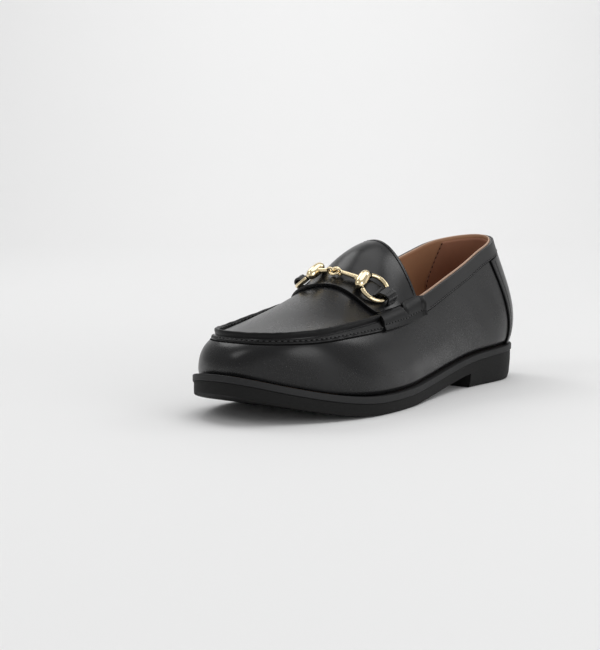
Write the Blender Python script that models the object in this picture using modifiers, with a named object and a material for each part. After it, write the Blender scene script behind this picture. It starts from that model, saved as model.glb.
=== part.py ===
# Left horsebit loafer standing empty on its sole.
# Metres, +Z up, toe towards -Y, lateral (outer) side towards +X.
# The origin is on the floor under the middle of the sole.
# A station is a distance from the back of the heel, measured forwards along the sole.
import math

import bmesh
import bpy
import numpy as np
from mathutils import Matrix, Vector

# Driving sizes
SOLE_LENGTH = 0.290
SOLE_EDGE = 0.0113          # midsole and outsole together, at the tread
MIDSOLE_THICKNESS = 0.0040
HEEL_LENGTH = 0.080
HEEL_TAPER = 0.0015
SOLE_STEP = 0.0006          # the outsole stands back from the midsole
SOLE_BEVEL = 0.0008
SOLE_MIDDLE = 0.130
INSOLE_THICKNESS = 0.0030
INSOLE_INSET = 0.0070
LEDGE = 0.0025              # the midsole stands out this far beyond the upper
LEATHER = 0.0020            # wall of the upper, with its lining
GAP = 0.0003                # clearance between pieces that touch

# Ends of the sole: length and power of the rounding at heel and toe
HEEL_ROUND, HEEL_POWER = 0.042, 2.2
TOE_ROUND, TOE_POWER = 0.086, 2.25

# Feather line, where the upper meets the midsole
FEATHER_TOE, FEATHER_MID, FEATHER_BACK = 0.2865, 0.130, 0.0035

# Rim: the apron seam from the toe to the throat, then the topline round the heel
RIM_TOE, RIM_THROAT, RIM_BACK = 0.273, 0.140, 0.017
RIM_TOE_ROUND, RIM_TOE_POWER = 0.040, 2.4
RIM_HEEL_ROUND, RIM_HEEL_POWER = 0.034, 2.0

# Steps round half of the upper: toe end to the tabs, tabs to the throat, throat to the heel
SEAM_STEPS, TAB_STEPS, TOPLINE_STEPS = 17, 6, 14
TOE_STEPS = 8               # of the seam steps, those that make the front edge of the apron
WALL_STEPS = 7
SOLE_STEPS = 22             # round half of the sole, in front of and behind its middle
COLLAR_ROWS, TAB_ROWS, TAB_COLUMNS = 4, 5, 9
BACKSTAY_ROWS, BACKSTAY_COLUMNS = 9, 7
STRAP_ROWS, STRAP_COLUMNS = 29, 5
KEEPER_COLUMNS = 5
RING_FACETS, LINK_FACETS, EYE_FACETS, WIRE_FACETS = 32, 22, 18, 8
BAR_FACETS, BARREL_FACETS, BARREL_RINGS = 14, 20, 10

# Strap over the instep, tabs over its ends, collar and backstay
TAB_FRONT, TAB_BACK = 0.1865, 0.1385
TAB_WIDTH, TAB_THICKNESS = 0.0100, 0.0018
RIB_END = 0.1890
STRAP_FRONT = 0.1860
STRAP_BACK_END, STRAP_BACK_RIDGE = 0.1610, 0.1720
STRAP_REACH = 0.985         # of the way from the ridge to the seam
STRAP_THICKNESS = 0.0020
COLLAR_FRONT = 0.1370
COLLAR_WIDTH, COLLAR_THICKNESS = 0.0095, 0.0010
BACKSTAY_TURN = 0.52        # half angle of the strip round the heel, radians of the loop
BACKSTAY_THICKNESS = 0.0010

# Snaffle bit: two rings, each with a barrel on a bar, and a link that joins the eyes of the bars
RING_RADIUS, WIRE_RADIUS = 0.0090, 0.0014
BARREL_LENGTH, BARREL_RADIUS = 0.0150, 0.0036
BARREL_LIFT, RING_LIFT = 0.0042, 0.0022
BAR_THIN, BAR_THICK = 0.0012, 0.0018
EYE_RADIUS, EYE_WIRE = 0.0022, 0.0008
LINK_RADIUS = 0.0031
BIT_STATION = 0.1765        # rim station of the link on the ridge
BIT_SWEEP = 0.0090          # the lateral end of the bit lies further back by this times its place squared
BARREL_PLACES = {1: 0.48, -1: 0.41}     # lateral and medial, 0 on the ridge and 1 at the seam
KEEPER_WIDTH, KEEPER_THICKNESS = 0.0085, 0.0012
LIFT_STEP, MOST_LIFT = 0.0001, 0.0060   # a ring is raised in these steps until it clears the strap
PLACE_STEP = 0.002          # steps across the instep that find the far side of a ring
RING_FACE = 0.75            # a ring lies along the leather at this share of the way to its far side


def table(names, rows):
    return {name: np.array(column) for name, column in zip(names, zip(*rows))}


SOLE = table(
    ("station", "lateral", "medial", "top"),
    (
        (0.000, 0.0335, 0.0330, 0.0245),
        (0.045, 0.0345, 0.0330, 0.0230),
        (0.080, 0.0350, 0.0310, 0.0205),
        (0.110, 0.0375, 0.0295, 0.0165),
        (0.140, 0.0430, 0.0320, 0.0132),
        (0.170, 0.0495, 0.0395, 0.0113),
        (0.195, 0.0525, 0.0460, 0.0110),
        (0.215, 0.0525, 0.0500, 0.0117),
        (0.240, 0.0495, 0.0530, 0.0150),
        (0.265, 0.0440, 0.0550, 0.0207),
        (0.290, 0.0360, 0.0570, 0.0282),
    ),
)

RIM = table(
    ("station", "lateral", "medial", "lateral_z", "medial_z"),
    (
        (0.017, 0.0230, 0.0250, 0.0990, 0.0990),
        (0.035, 0.0245, 0.0265, 0.0955, 0.0952),
        (0.055, 0.0265, 0.0275, 0.0905, 0.0898),
        (0.080, 0.0285, 0.0285, 0.0815, 0.0828),
        (0.105, 0.0300, 0.0290, 0.0735, 0.0755),
        (0.140, 0.0310, 0.0295, 0.0625, 0.0665),
        (0.160, 0.0325, 0.0305, 0.0590, 0.0635),
        (0.190, 0.0340, 0.0317, 0.0552, 0.0592),
        (0.220, 0.0350, 0.0320, 0.0525, 0.0536),
        (0.250, 0.0345, 0.0318, 0.0503, 0.0489),
        (0.273, 0.0320, 0.0315, 0.0492, 0.0488),
    ),
)

# How the wall leaves the feather line and arrives at the rim, outwards and upwards
WALL = table(
    ("station", "low_out", "low_up", "high_out", "high_up"),
    (
        (0.0035, 0.0075, 0.024, 0.0060, -0.026),
        (0.0600, 0.0060, 0.016, 0.0040, -0.020),
        (0.1300, 0.0050, 0.014, 0.0060, -0.014),
        (0.1900, 0.0035, 0.016, 0.0105, -0.010),
        (0.2500, 0.0020, 0.015, 0.0105, -0.007),
        (0.2865, 0.0010, 0.014, 0.0080, -0.005),
    ),
)

# Arches of the apron and tongue between the two sides of the rim: the ridge, and how full each flank is
APRON = table(
    ("rim", "ridge", "ridge_z", "lateral_power", "medial_power"),
    (
        (0.140, 0.1425, 0.0992, 0.88, 0.75),
        (0.148, 0.1520, 0.0972, 0.92, 0.68),
        (0.157, 0.1630, 0.0925, 0.98, 0.64),
        (0.167, 0.1740, 0.0842, 1.05, 0.62),
        (0.177, 0.1835, 0.0760, 1.20, 0.62),
        (0.186, 0.1915, 0.0717, 1.45, 0.62),
        (0.200, 0.2045, 0.0662, 1.40, 0.66),
        (0.220, 0.2235, 0.0598, 1.30, 0.72),
        (0.240, 0.2420, 0.0548, 1.15, 0.80),
        (0.257, 0.2580, 0.0518, 1.00, 0.85),
    ),
)
RIDGE_LEAN = 0.6            # power that carries an arch forwards or back towards its ridge

# Raised seam round the apron: distance out from the rim, and height above the wall
RIB = table(
    ("distance", "height"),
    (
        (0.0000, 0.0004),
        (0.0010, 0.0026),
        (0.0030, 0.0024),
        (0.0042, 0.0010),
        (0.0076, 0.0011),
        (0.0084, 0.0000),
    ),
)

# Leather keeper over the ring's wire: distance down the flank from the wire, and share of the full height
KEEPER = table(
    ("distance", "share"),
    (
        (-0.0068, 0.06),
        (-0.0052, 0.10),
        (-0.0042, 0.45),
        (-0.0034, 0.90),
        (-0.0012, 1.02),
        (0.0009, 1.00),
        (0.0022, 0.88),
        (0.0030, 0.45),
        (0.0038, 0.10),
        (0.0050, 0.06),
    ),
)


def column(rows, name, at, key="station"):
    """Smooth curve through one column of a table, read at the given keys."""
    keys, values = rows[key], rows[name]
    at = np.clip(np.asarray(at, float), keys[0], keys[-1])
    step = np.diff(keys)
    rise = np.diff(values) / step
    slope = np.empty_like(values)
    slope[0], slope[-1] = rise[0], rise[-1]
    slope[1:-1] = (rise[:-1] * step[1:] + rise[1:] * step[:-1]) / (step[:-1] + step[1:])
    i = np.clip(np.searchsorted(keys, at) - 1, 0, len(step) - 1)
    t = (at - keys[i]) / step[i]
    low = (2 * t**3 - 3 * t**2 + 1) * values[i] + (t**3 - 2 * t**2 + t) * step[i] * slope[i]
    high = (3 * t**2 - 2 * t**3) * values[i + 1] + (t**3 - t**2) * step[i] * slope[i + 1]
    return low + high


def end_round(distance, length, power):
    """Factor that closes a half width to nothing at the end of a loop."""
    u = np.clip(1 - np.asarray(distance) / length, 0, 1)
    return (1 - u**power) ** (1 / power)


def loop_stations(toe, middle, back, turn):
    """Stations along half a loop; turn runs from 0 at the toe to pi at the heel."""
    c = np.cos(turn)
    return np.where(c > 0, middle + (toe - middle) * c, middle + (middle - back) * c)


def place(x, station, z):
    return np.stack(np.broadcast_arrays(x, SOLE_LENGTH / 2 - station, z), -1)


def both_sides(half, turn):
    """Closed loop from the toe along the lateral side to the heel and back along the medial side."""
    return np.concatenate([half(turn, 1), half(turn, -1)[-2:0:-1]])


def sole_half(station, side, inset=0.0):
    width = column(SOLE, "lateral" if side > 0 else "medial", station) - inset
    toe, back = SOLE_LENGTH - inset, inset
    heel_end = end_round(station - back, HEEL_ROUND, HEEL_POWER)
    toe_end = end_round(toe - station, TOE_ROUND, TOE_POWER)
    return side * width * heel_end * toe_end


def sole_centre():
    """Middle of the sole's width, which goes over the origin."""
    station = np.linspace(0, SOLE_LENGTH, 1000)
    return (sole_half(station, 1).max() + sole_half(station, -1).min()) / 2


def sole_top(station):
    return column(SOLE, "top", station)


def tread(station):
    return np.maximum(sole_top(station) - SOLE_EDGE, 0.0)


def feather(turn, side):
    station = loop_stations(FEATHER_TOE, FEATHER_MID, FEATHER_BACK, turn)
    width = column(SOLE, "lateral" if side > 0 else "medial", station) - LEDGE
    heel = end_round(station - FEATHER_BACK, HEEL_ROUND, HEEL_POWER)
    toe = end_round(FEATHER_TOE - station, TOE_ROUND, TOE_POWER)
    return place(side * width * heel * toe, station, sole_top(station) + GAP)


def rim(turn, side):
    station = loop_stations(RIM_TOE, RIM_THROAT, RIM_BACK, turn)
    name = "lateral" if side > 0 else "medial"
    heel = end_round(station - RIM_BACK, RIM_HEEL_ROUND, RIM_HEEL_POWER)
    toe = end_round(RIM_TOE - station, RIM_TOE_ROUND, RIM_TOE_POWER)
    return place(side * column(RIM, name, station) * heel * toe, station, column(RIM, name + "_z", station))


def rim_turn(station):
    """Turn of the loop at a station of the rim."""
    ahead = station >= RIM_THROAT
    reach = RIM_TOE - RIM_THROAT if ahead else RIM_THROAT - RIM_BACK
    return math.acos(np.clip((station - RIM_THROAT) / reach, -1, 1))


def upper_turns():
    seam = np.linspace(0, rim_turn(RIB_END), SEAM_STEPS + 1)
    tabs = np.linspace(rim_turn(TAB_FRONT), math.pi / 2, TAB_STEPS)
    topline = np.linspace(math.pi / 2, math.pi, TOPLINE_STEPS + 1)[1:]
    return np.concatenate([seam, tabs, topline])


def outward(turn, side):
    """Level direction out of the feather line."""
    step = 1e-4
    ahead = feather(np.minimum(turn + step, math.pi), side)
    behind = feather(np.maximum(turn - step, 0), side)
    along = ahead - behind
    out = np.stack([along[:, 1], -along[:, 0], 0 * along[:, 0]], -1) * side
    return out / np.linalg.norm(out, axis=1, keepdims=True)


def wall_sections(turn, side, samples=60):
    """Curves of the wall from the rim down to the feather line, one for each turn."""
    turn = np.asarray(turn, float)
    bottom, top = feather(turn, side), rim(turn, side)
    out, up = outward(turn, side), np.array([0.0, 0.0, 1.0])
    station = SOLE_LENGTH / 2 - bottom[:, 1]
    low_out, low_up, high_out, high_up = (
        column(WALL, name, station)[:, None] for name in ("low_out", "low_up", "high_out", "high_up")
    )
    low = bottom + out * low_out + up * low_up
    high = top + out * high_out + up * high_up
    t = np.linspace(0, 1, samples)[:, None, None]
    curves = (1 - t) ** 3 * top + 3 * (1 - t) ** 2 * t * high + 3 * (1 - t) * t**2 * low + t**3 * bottom
    return np.swapaxes(curves, 0, 1)


def down_wall(sections, distances):
    """Points at distances from the rim along each section; a row of distances for all, or one row each."""
    rows = []
    each = np.broadcast_to(distances, (len(sections), np.shape(distances)[-1]))
    for section, wanted in zip(sections, each):
        run = np.concatenate([[0], np.cumsum(np.linalg.norm(np.diff(section, axis=0), axis=1))])
        rows.append([[np.interp(d, run, section[:, axis]) for axis in range(3)] for d in wanted])
    return np.array(rows)


def wall_distances(sections):
    """Distances from the rim of each row of the wall: the seam's, then even steps to the feather line."""
    rows = []
    for section in sections:
        length = np.linalg.norm(np.diff(section, axis=0), axis=1).sum()
        below = np.linspace(RIB["distance"][-1], length, WALL_STEPS + 1)[1:]
        rows.append(np.concatenate([RIB["distance"], below]))
    return np.array(rows)


def apron_arch(station, across):
    """One arch of the apron or tongue; across runs from -1 on the medial side to 1 on the lateral side."""
    turn = np.array([rim_turn(station)])
    lateral, medial = rim(turn, 1)[0], rim(turn, -1)[0]
    across = np.asarray(across, float)
    ridge, ridge_z = (column(APRON, name, station, "rim") for name in ("ridge", "ridge_z"))
    flanks = [column(APRON, name, station, "rim") for name in ("lateral_power", "medial_power")]
    power = np.where(across > 0, *flanks)
    middle = (lateral + medial) / 2
    points = medial + (lateral - medial) * ((across + 1) / 2)[:, None]
    swell = 1 - across**2
    points[:, 1] += (SOLE_LENGTH / 2 - ridge - middle[1]) * swell**RIDGE_LEAN
    points[:, 2] += (ridge_z - middle[2]) * swell**power
    return points


def instep_frame(station, across, lift=0.0):
    """Point above the strap's path with its directions across the instep, along the foot and outwards."""
    step = 1e-3
    point = apron_arch(station, [across])[0]
    over = apron_arch(station, [across + step])[0] - apron_arch(station, [across - step])[0]
    ahead = apron_arch(station + step, [across])[0] - apron_arch(station - step, [across])[0]
    over, ahead = Vector(over).normalized(), Vector(ahead).normalized()
    out = ahead.cross(over).normalized()
    return Vector(point) + out * lift, over, ahead, out


def material(name, colour, roughness, metallic=0.0):
    new = bpy.data.materials.new(name)
    new.use_nodes = True
    shader = new.node_tree.nodes["Principled BSDF"]
    shader.inputs["Base Color"].default_value = (*colour, 1.0)
    shader.inputs["Roughness"].default_value = roughness
    shader.inputs["Metallic"].default_value = metallic
    return new


def add_object(name, mesh, finish, collection):
    piece = bpy.data.objects.new(name, mesh)
    mesh.materials.clear()
    mesh.materials.append(finish)
    mesh.shade_smooth()
    mesh.set_sharp_from_angle(angle=math.radians(40))
    collection.objects.link(piece)
    piece.parent = bpy.data.objects["loafer"]
    return piece


def mesh_from(name, points, faces):
    """Mesh with its faces turned away from its middle."""
    mesh = bpy.data.meshes.new(name)
    mesh.from_pydata([tuple(p) for p in points], [], faces)
    shape = bmesh.new()
    shape.from_mesh(mesh)
    bmesh.ops.recalc_face_normals(shape, faces=shape.faces)
    middle = sum((v.co for v in shape.verts), Vector()) / len(shape.verts)
    facing = sum(f.normal.dot(f.calc_center_median() - middle) * f.calc_area() for f in shape.faces)
    if facing < 0:
        bmesh.ops.reverse_faces(shape, faces=shape.faces)
    shape.to_mesh(mesh)
    shape.free()
    return mesh


def grid_normals(grid):
    along = np.gradient(grid, axis=0)
    beside = np.gradient(grid, axis=1)
    normal = np.cross(along, beside)
    return normal / np.linalg.norm(normal, axis=2, keepdims=True)


def overlay(name, grid, outer_hint, thickness, finish, collection):
    """Leather laid on the upper: the upper's own grid, lifted clear and thickened outwards."""
    normals = grid_normals(grid)
    middle = grid.shape[0] // 2, grid.shape[1] // 2
    if np.dot(normals[middle], outer_hint) < 0:
        normals = -normals
    inner, outer = grid + normals * GAP, grid + normals * (GAP + thickness)
    return add_object(name, sandwich_mesh(name, inner, outer), finish, collection)


def sandwich_mesh(name, inner, outer):
    """Closed body between two grids of the same size."""
    rows, columns = inner.shape[:2]
    points = np.concatenate([inner.reshape(-1, 3), outer.reshape(-1, 3)])
    count = rows * columns
    faces = []
    for r in range(rows - 1):
        for c in range(columns - 1):
            a, b = r * columns + c, (r + 1) * columns + c
            faces += [(a, a + 1, b + 1, b), (a + count, b + count, b + 1 + count, a + 1 + count)]
    edge = [c for c in range(columns)]
    edge += [r * columns + columns - 1 for r in range(1, rows)]
    edge += [(rows - 1) * columns + c for c in range(columns - 2, -1, -1)]
    edge += [r * columns for r in range(rows - 2, 0, -1)]
    faces += [(a, b, b + count, a + count) for a, b in zip(edge, edge[1:] + edge[:1])]
    return mesh_from(name, points, faces)


def stack_mesh(name, rings):
    """Closed body through rings that run from the toe or breast down one side, round the heel and back."""
    around = len(rings[0])
    points = np.concatenate(rings)
    faces = []
    for level in range(len(rings) - 1):
        for k in range(around):
            a, b = level * around + k, level * around + (k + 1) % around
            faces.append((a, b, b + around, a + around))
    for base in (0, (len(rings) - 1) * around):
        low, high = 0, around - 1
        if around % 2 == 0:
            faces.append((base, base + 1, base + high))
            low, high = 1, around - 1
        while high - low > 2:
            faces.append((base + low, base + low + 1, base + high - 1, base + high))
            low, high = low + 1, high - 1
        if high - low == 2:
            faces.append((base + low, base + low + 1, base + high))
    return mesh_from(name, points, faces)


def sole_ring(inset, height, turn):
    """Ring of the sole at an inset from its outline; height gives z at each station."""
    def half(at, side):
        station = loop_stations(SOLE_LENGTH - inset, SOLE_MIDDLE, inset, at)
        return place(sole_half(station, side, inset), station, height(station))
    return both_sides(half, turn)


def make_sole(collection, finishes):
    turn = np.concatenate([
        np.linspace(0, math.pi / 2, SOLE_STEPS + 1),
        np.linspace(math.pi / 2, math.pi, SOLE_STEPS + 1)[1:],
    ])

    def midsole_low(station):
        return sole_top(station) - MIDSOLE_THICKNESS

    def outsole_high(station):
        return midsole_low(station) - GAP

    def above(height, rise):
        return lambda station: height(station) + rise

    midsole = [
        sole_ring(SOLE_BEVEL, sole_top, turn),
        sole_ring(0, above(sole_top, -SOLE_BEVEL), turn),
        sole_ring(0, midsole_low, turn),
    ]
    add_object("midsole", stack_mesh("midsole", midsole), finishes["midsole"], collection)
    outsole = [
        sole_ring(SOLE_STEP, outsole_high, turn),
        sole_ring(SOLE_STEP, above(tread, SOLE_BEVEL), turn),
        sole_ring(SOLE_STEP + SOLE_BEVEL, tread, turn),
    ]
    add_object("outsole", stack_mesh("outsole", outsole), finishes["rubber"], collection)

    seat = above(sole_top, GAP)
    insole = [
        sole_ring(INSOLE_INSET, seat, turn),
        sole_ring(INSOLE_INSET, above(seat, INSOLE_THICKNESS - SOLE_BEVEL), turn),
        sole_ring(INSOLE_INSET + SOLE_BEVEL, above(seat, INSOLE_THICKNESS), turn),
    ]
    add_object("insole", stack_mesh("insole", insole), finishes["lining"], collection)

    def heel_ring(inset, height):
        along = np.linspace(0, math.pi / 2, SOLE_STEPS + 1)
        station = inset + (HEEL_LENGTH - inset) * (1 - np.sin(along))
        lateral = place(sole_half(station, 1, inset), station, height(station))
        medial = place(sole_half(station, -1, inset), station, height(station))
        return np.concatenate([lateral, medial[-2::-1]])

    heel = [
        heel_ring(SOLE_STEP, above(tread, -GAP)),
        heel_ring(SOLE_STEP + HEEL_TAPER, lambda station: 0 * station),
    ]
    add_object("heel", stack_mesh("heel", heel), finishes["rubber"], collection)


def make_upper(collection, finishes):
    """Vamp, quarters and the apron with its tongue as one shell, open at the collar and underneath."""
    turns = upper_turns()
    halves = []
    for side in (1, -1):
        sections = wall_sections(turns, side)
        halves.append(down_wall(sections, wall_distances(sections)))
    wall = np.concatenate([halves[0], halves[1][-2:0:-1]])
    around, rows = wall.shape[:2]
    faces = [
        (k * rows + r, (k + 1) % around * rows + r, (k + 1) % around * rows + r + 1, k * rows + r + 1)
        for k in range(around)
        for r in range(rows - 1)
    ]

    front = [k % around for k in range(TOE_STEPS, -TOE_STEPS - 1, -1)]
    toe_edge = wall[front, 0]
    across = 2 * (toe_edge[:, 0] - toe_edge[-1, 0]) / (toe_edge[0, 0] - toe_edge[-1, 0]) - 1
    rim_stations = SOLE_LENGTH / 2 - halves[0][:, 0, 1]
    toe_swing = toe_edge - apron_arch(rim_stations[TOE_STEPS], across)
    points = list(wall.reshape(-1, 3))
    last = [k * rows for k in front]
    for i in range(TOE_STEPS + 1, SEAM_STEPS + TAB_STEPS + 1):
        fade = max(0.0, (SEAM_STEPS - i) / (SEAM_STEPS - TOE_STEPS)) ** 2
        arch = apron_arch(rim_stations[i], across) + fade * toe_swing
        row = [i * rows, *range(len(points), len(points) + len(arch) - 2), (around - i) * rows]
        points.extend(arch[1:-1])
        faces += [(last[j], last[j + 1], row[j + 1], row[j]) for j in range(len(row) - 1)]
        last = row

    shell = add_object("upper", mesh_from("upper_skin", points, faces), finishes["leather"], collection)
    normals = [v.normal.copy() for v in shell.data.vertices]
    solidify = shell.modifiers.new("wall", "SOLIDIFY")
    solidify.thickness = LEATHER
    solidify.offset = -1
    solidify.use_even_offset = True
    skin = shell.data
    shell.data = evaluated_mesh(shell)
    shell.modifiers.clear()
    bpy.data.meshes.remove(skin)
    for k in range(around):
        if min(k, around - k) <= SEAM_STEPS:
            for r, height in enumerate(RIB["height"]):
                shell.data.vertices[k * rows + r].co += normals[k * rows + r] * height


def evaluated_mesh(piece):
    bpy.context.view_layer.update()
    return bpy.data.meshes.new_from_object(piece.evaluated_get(bpy.context.evaluated_depsgraph_get()))


def make_overlays(collection, finishes):
    """Collar binding, backstay, the strap over the instep and the tabs that hold its ends."""
    leather = finishes["leather"]
    turns = upper_turns()
    topline = np.concatenate([[rim_turn(COLLAR_FRONT)], turns[SEAM_STEPS + TAB_STEPS + 1:]])
    down = np.linspace(GAP, COLLAR_WIDTH, COLLAR_ROWS)
    halves = [down_wall(wall_sections(topline, side), down) for side in (1, -1)]
    collar = np.concatenate([halves[0], halves[1][-2::-1]])
    overlay("collar_binding", collar, (0, 1, 0), COLLAR_THICKNESS, leather, collection)

    back = np.linspace(math.pi - BACKSTAY_TURN, math.pi, BACKSTAY_COLUMNS)
    halves = []
    for side in (1, -1):
        sections = wall_sections(back, side)
        bottom = np.linalg.norm(np.diff(sections, axis=1), axis=2).sum(1) - GAP
        top = np.full_like(bottom, COLLAR_WIDTH + GAP)
        halves.append(down_wall(sections, np.linspace(top, bottom, BACKSTAY_ROWS, axis=1)))
    backstay = np.concatenate([halves[0], halves[1][-2::-1]])
    overlay("backstay", backstay, (0, 1, 0), BACKSTAY_THICKNESS, leather, collection)

    for name, side in (("tab_lateral", 1), ("tab_medial", -1)):
        run = np.linspace(rim_turn(TAB_FRONT), rim_turn(TAB_BACK), TAB_COLUMNS)
        grid = down_wall(wall_sections(run, side), np.linspace(GAP, TAB_WIDTH, TAB_ROWS))
        overlay(name, grid, (side, 0, 0.5), TAB_THICKNESS, leather, collection)

    across = np.sin(np.linspace(-1, 1, STRAP_ROWS) * math.asin(STRAP_REACH))
    rear = STRAP_BACK_END + (STRAP_BACK_RIDGE - STRAP_BACK_END) * (1 - across**2)
    grid = np.array([
        [apron_arch(station, [a])[0] for station in np.linspace(back_edge, STRAP_FRONT, STRAP_COLUMNS)]
        for a, back_edge in zip(across, rear)
    ])
    overlay("strap", grid, (0, -0.5, 1), STRAP_THICKNESS, leather, collection)


def add_primitive(name, finish, collection):
    """Take the primitive that was just made into the loafer."""
    piece = bpy.context.object
    for old in list(piece.users_collection):
        old.objects.unlink(piece)
    collection.objects.link(piece)
    piece.name = piece.data.name = name
    piece.data.materials.append(finish)
    piece.data.shade_smooth()
    piece.parent = bpy.data.objects["loafer"]
    return piece


def add_ring(name, frame, radius, wire, finish, collection, segments):
    bpy.ops.mesh.primitive_torus_add(
        major_radius=radius, minor_radius=wire, major_segments=segments, minor_segments=WIRE_FACETS
    )
    ring = add_primitive(name, finish, collection)
    ring.matrix_basis = frame
    return ring


def frame_at(point, x_axis, y_axis, z_axis):
    turned = Matrix((x_axis, y_axis, z_axis)).transposed().to_4x4()
    return Matrix.Translation(point) @ turned


def hide_as_cutter(piece):
    piece.hide_render = True
    piece.display_type = "WIRE"


def join(piece, other, operation):
    step = piece.modifiers.new(other.name, "BOOLEAN")
    step.operation = operation
    step.solver = "EXACT"
    step.object = other
    hide_as_cutter(other)


def make_bit(collection, cutters, finishes):
    gold, leather = finishes["gold"], finishes["leather"]
    shelf = GAP + STRAP_THICKNESS
    eye_lift = shelf + 2 * GAP + EYE_RADIUS + EYE_WIRE
    middle, over, ahead, out = instep_frame(BIT_STATION, 0, eye_lift)
    link_frame = frame_at(middle, over, -ahead, out)
    add_ring("link", link_frame, LINK_RADIUS, EYE_WIRE, gold, collection, LINK_FACETS)

    for name, side in (("lateral", 1), ("medial", -1)):
        lift, far_place, ring_frame = seat_ring(side, shelf)
        barrel = ring_frame @ Vector((-RING_RADIUS, 0, 0))
        add_ring(f"ring_{name}", ring_frame, RING_RADIUS, WIRE_RADIUS, gold, collection, RING_FACETS)

        eye = middle + over * side * LINK_RADIUS
        start = eye + over * side * EYE_RADIUS
        reach = barrel - start
        bpy.ops.mesh.primitive_cone_add(
            vertices=BAR_FACETS, radius1=BAR_THIN, radius2=BAR_THICK, depth=reach.length
        )
        bar = add_primitive(f"bar_{name}", gold, collection)
        turn = reach.to_track_quat("Z", "Y").to_matrix().to_4x4()
        bar.matrix_basis = Matrix.Translation(start + reach / 2) @ turn

        bpy.ops.mesh.primitive_uv_sphere_add(segments=BARREL_FACETS, ring_count=BARREL_RINGS, radius=1)
        hub = add_primitive(f"barrel_{name}", gold, cutters)
        hub.data.transform(Matrix.Diagonal((BARREL_RADIUS, BARREL_LENGTH / 2, BARREL_RADIUS, 1)))
        hub.matrix_basis = Matrix.Translation(barrel - ring_frame.translation) @ ring_frame
        eye_frame = frame_at(eye, over, out, ahead)
        eye_ring = add_ring(f"eye_{name}", eye_frame, EYE_RADIUS, EYE_WIRE, gold, cutters, EYE_FACETS)
        bore_wire = WIRE_RADIUS + GAP
        bore = add_ring(f"bore_{name}", ring_frame, RING_RADIUS, bore_wire, gold, cutters, RING_FACETS)
        join(bar, hub, "UNION")
        join(bar, eye_ring, "UNION")
        join(bar, bore, "DIFFERENCE")

        wire_top = lift + RING_LIFT + WIRE_RADIUS + 4 * GAP
        make_keeper(f"keeper_{name}", side, far_place, shelf, wire_top, leather, collection)


def bit_station(across):
    return BIT_STATION - BIT_SWEEP * max(across, 0.0) ** 2


def bit_frame(across, lift):
    return instep_frame(bit_station(across), across, lift)


def seat_ring(side, shelf):
    """Lift a ring off the strap until its wire clears the leather all round."""
    tops = np.array([
        instep_frame(station, side * across, shelf)[0]
        for station in np.linspace(STRAP_BACK_END, STRAP_FRONT, RING_FACETS)
        for across in np.linspace(0, STRAP_REACH, RING_FACETS)
    ])
    near_place = BARREL_PLACES[side]
    for lift in np.arange(0, MOST_LIFT, LIFT_STEP):
        barrel = bit_frame(side * near_place, shelf + lift + BARREL_LIFT)[0]
        far_place, far = near_place, barrel
        while (far - barrel).length < 2 * RING_RADIUS:
            far_place += PLACE_STEP
            far = bit_frame(side * far_place, shelf + lift + RING_LIFT)[0]
        down = (far - barrel).normalized()
        along = bit_frame(side * (near_place + RING_FACE * (far_place - near_place)), 0.0)[2]
        face = along.cross(down).normalized() * side
        frame = frame_at(barrel + down * RING_RADIUS, down, face.cross(down), face)
        local = (tops - np.array(frame.translation)) @ np.array(frame.to_3x3())
        from_wire = np.hypot(np.hypot(local[:, 0], local[:, 1]) - RING_RADIUS, local[:, 2])
        if from_wire.min() > WIRE_RADIUS + GAP:
            break
    return lift, far_place, frame


def make_keeper(name, side, wire_place, shelf, wire_top, finish, collection):
    """Short leather loop that lies on the strap and holds down the far side of a ring."""
    step = 0.01
    near, beyond = (bit_frame(side * (wire_place + d), shelf)[0] for d in (-step, step))
    place_per_metre = 2 * step / (beyond - near).length
    inner, outer = [], []
    for distance, share in zip(KEEPER["distance"], KEEPER["share"]):
        across = side * min(wire_place + distance * place_per_metre, STRAP_REACH)
        low = shelf + share * wire_top
        stations = np.linspace(-KEEPER_WIDTH / 2, KEEPER_WIDTH / 2, KEEPER_COLUMNS) + bit_station(across)
        inner.append([instep_frame(station, across, low)[0] for station in stations])
        outer.append([instep_frame(station, across, low + KEEPER_THICKNESS)[0] for station in stations])
    add_object(name, sandwich_mesh(name, np.array(inner), np.array(outer)), finish, collection)


def main():
    for old in list(bpy.data.objects):
        bpy.data.objects.remove(old)
    collection = bpy.data.collections.new("horsebit_loafer")
    cutters = bpy.data.collections.new("cutters")
    for new in (collection, cutters):
        bpy.context.scene.collection.children.link(new)
    base = bpy.data.objects.new("loafer", None)
    base.location.x = -sole_centre()
    collection.objects.link(base)

    finishes = {
        "leather": material("black_leather", (0.012, 0.012, 0.014), 0.32),
        "lining": material("tan_lining", (0.42, 0.22, 0.11), 0.6),
        "midsole": material("grey_midsole", (0.055, 0.055, 0.055), 0.6),
        "rubber": material("black_rubber", (0.02, 0.02, 0.02), 0.7),
        "gold": material("pale_gold", (0.90, 0.75, 0.48), 0.18, 1.0),
    }
    make_sole(collection, finishes)
    make_upper(collection, finishes)
    make_overlays(collection, finishes)
    make_bit(collection, cutters, finishes)


main()
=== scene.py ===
import math

import bmesh
import bpy
import numpy as np
from mathutils import Matrix, Vector


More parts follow.
